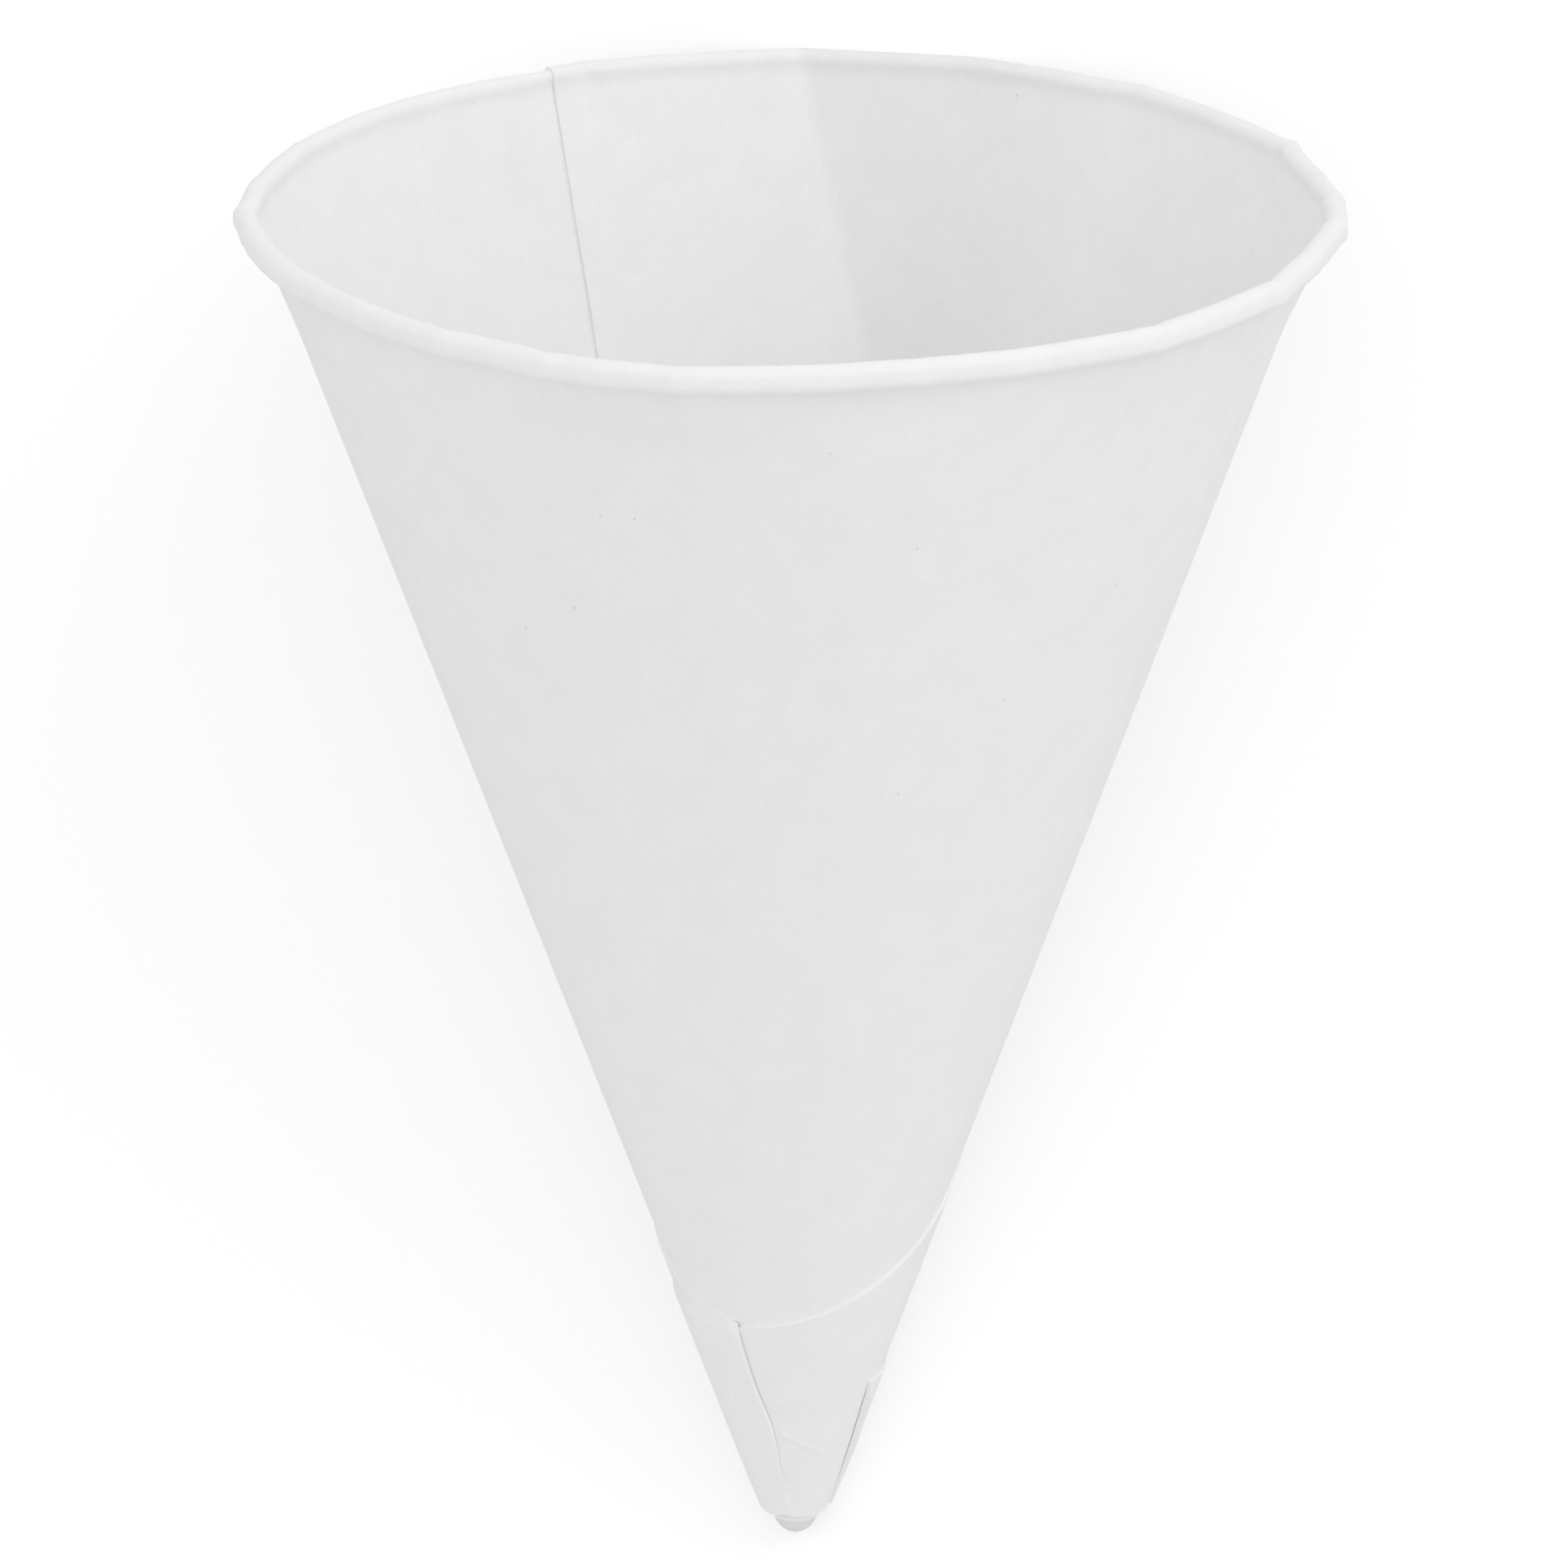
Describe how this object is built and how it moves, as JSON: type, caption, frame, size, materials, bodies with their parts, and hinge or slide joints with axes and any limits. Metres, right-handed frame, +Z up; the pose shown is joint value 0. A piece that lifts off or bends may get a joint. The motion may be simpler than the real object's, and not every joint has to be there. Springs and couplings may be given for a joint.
{
  "type": "cone paper cup",
  "caption": "Cone-shaped disposable drinking cup wound from one sheet of white paper, with a rolled rim and a closed tip, lying on its side.",
  "frame": {"origin": "on the ground under the middle of the cup's bounding box, with the cup lying on its side", "axes": "+X along the ground from the tip towards the mouth, +Z up, +Y to the left when looking from the tip to the mouth"},
  "size_m": [0.1026, 0.073, 0.0692],
  "materials": {
    "white_paper": "uncoated stiff white paper with a faint tooth"
  },
  "bodies": {
    "root": {"paper_cone": "white_paper"}
  },
  "joints": []
}
